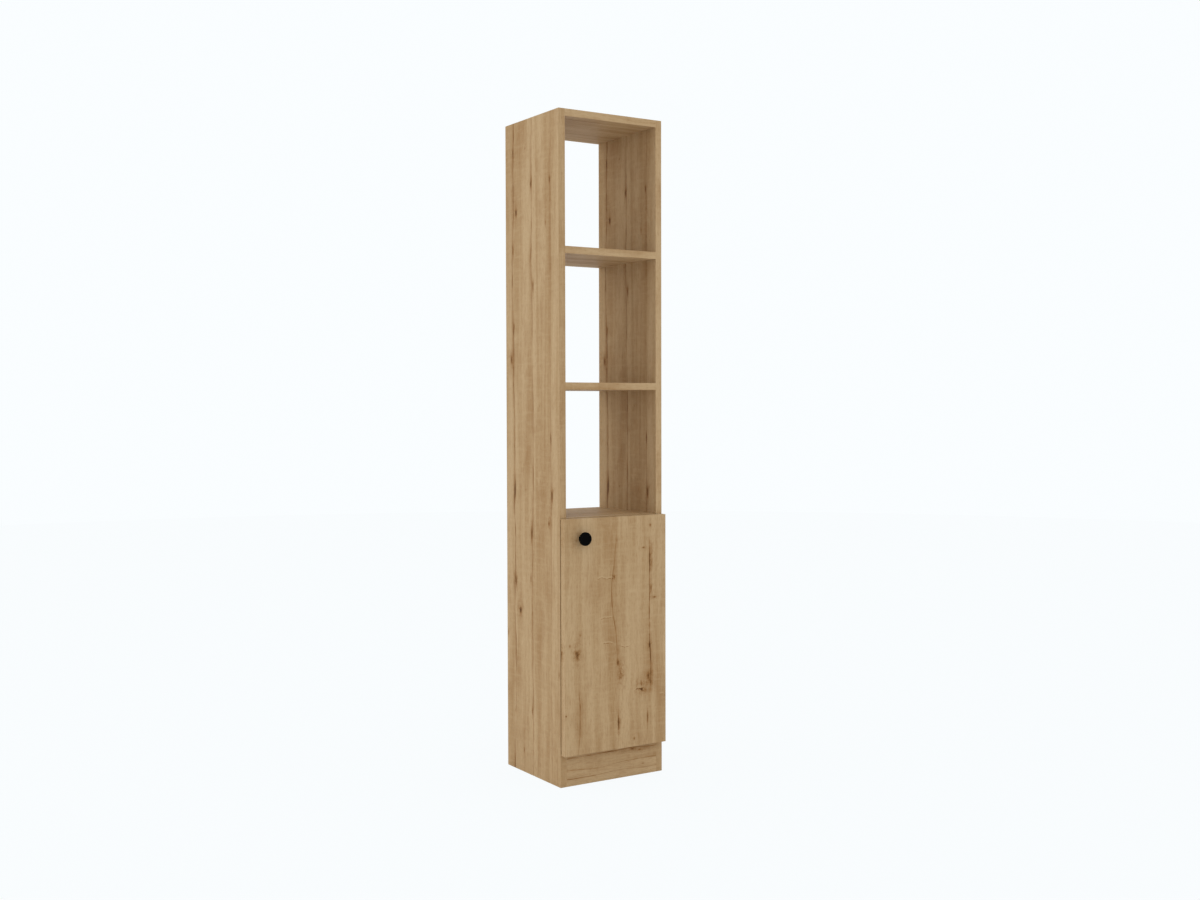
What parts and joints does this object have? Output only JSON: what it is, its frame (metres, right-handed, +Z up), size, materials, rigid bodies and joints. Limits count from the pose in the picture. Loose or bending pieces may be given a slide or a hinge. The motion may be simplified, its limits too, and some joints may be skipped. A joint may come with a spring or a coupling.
{
  "type": "bathroom cabinet",
  "caption": "Tall narrow open-backed cabinet with three open compartments over a cupboard with one hinged door.",
  "frame": {"origin": "centre of the footprint on the floor, with the knob counted in the depth", "axes": "+X to the right seen from the front, -Y to the front, +Z up"},
  "size_m": [0.31, 0.316, 1.724],
  "materials": {
    "oak_board": "matt melamine with a knotty oak decor",
    "oak_edging": "matt edging strip in the same decor",
    "white_hardboard": "white lacquered hardboard",
    "nickel_steel": "nickel-plated stamping",
    "cast_zinc": "tumbled zinc casting",
    "zinc_plate": "zinc-plated steel",
    "beech": "plain beech",
    "black_knob": "satin black",
    "clear_bumper": "soft clear bumper"
  },
  "bodies": {
    "carcass": {"left_side": "oak_board", "right_side": "oak_board", "top_panel": "oak_board", "upper_shelf": "oak_board", "lower_shelf": "oak_board", "cupboard_top": "oak_board", "cupboard_floor": "oak_board", "plinth": "oak_board", "cupboard_back": "white_hardboard", "inner_shelf": "oak_board", "side_edging": "oak_edging", "top_edging": "oak_edging", "shelf_edging": "oak_edging", "cupboard_edging": "oak_edging", "inner_shelf_edging": "oak_edging", "shelf_pins": "nickel_steel", "cam_locks": "cast_zinc", "cam_bolts": "nickel_steel", "dowels": "beech", "wall_brackets": "zinc_plate", "wall_bracket_screws": "zinc_plate", "upper_hinge_plate": "nickel_steel", "lower_hinge_plate": "nickel_steel", "hinge_plate_screws": "nickel_steel", "upper_hinge_arm": "nickel_steel", "lower_hinge_arm": "nickel_steel", "hinge_arm_screws": "nickel_steel", "hinge_arm_pins": "nickel_steel"},
    "outer_links": {"upper_outer_link": "nickel_steel", "lower_outer_link": "nickel_steel"},
    "inner_links": {"upper_inner_link": "nickel_steel", "lower_inner_link": "nickel_steel"},
    "door": {"door_panel": "oak_board", "door_edging": "oak_edging", "knob": "black_knob", "knob_screw": "nickel_steel", "door_bumpers": "clear_bumper", "upper_hinge_cup": "nickel_steel", "lower_hinge_cup": "nickel_steel", "hinge_cup_screws": "nickel_steel", "hinge_cup_pins": "nickel_steel"}
  },
  "joints": [
    {"name": "door_swing", "type": "hinge", "parent": "outer_links", "child": "door", "pos_m": [0.1455, -0.1245, 0.38], "axis": [0, 0, 1], "range_deg": [0, 131.1]},
    {"name": "outer_link_swing", "type": "hinge", "parent": "carcass", "child": "outer_links", "pos_m": [0.132, -0.112, 0.38], "axis": [0, 0, 1], "range_deg": [-36.3, 0.2]},
    {"name": "inner_link_swing", "type": "hinge", "parent": "carcass", "child": "inner_links", "pos_m": [0.121, -0.123, 0.38], "axis": [0, 0, 1], "range_deg": [-40.1, 0.2]}
  ],
  "couplings": [
    {"joint": "outer_link_swing", "follows": "door_swing", "ratio": -0.27536},
    {"joint": "inner_link_swing", "follows": "door_swing", "ratio": -0.30435}
  ]
}
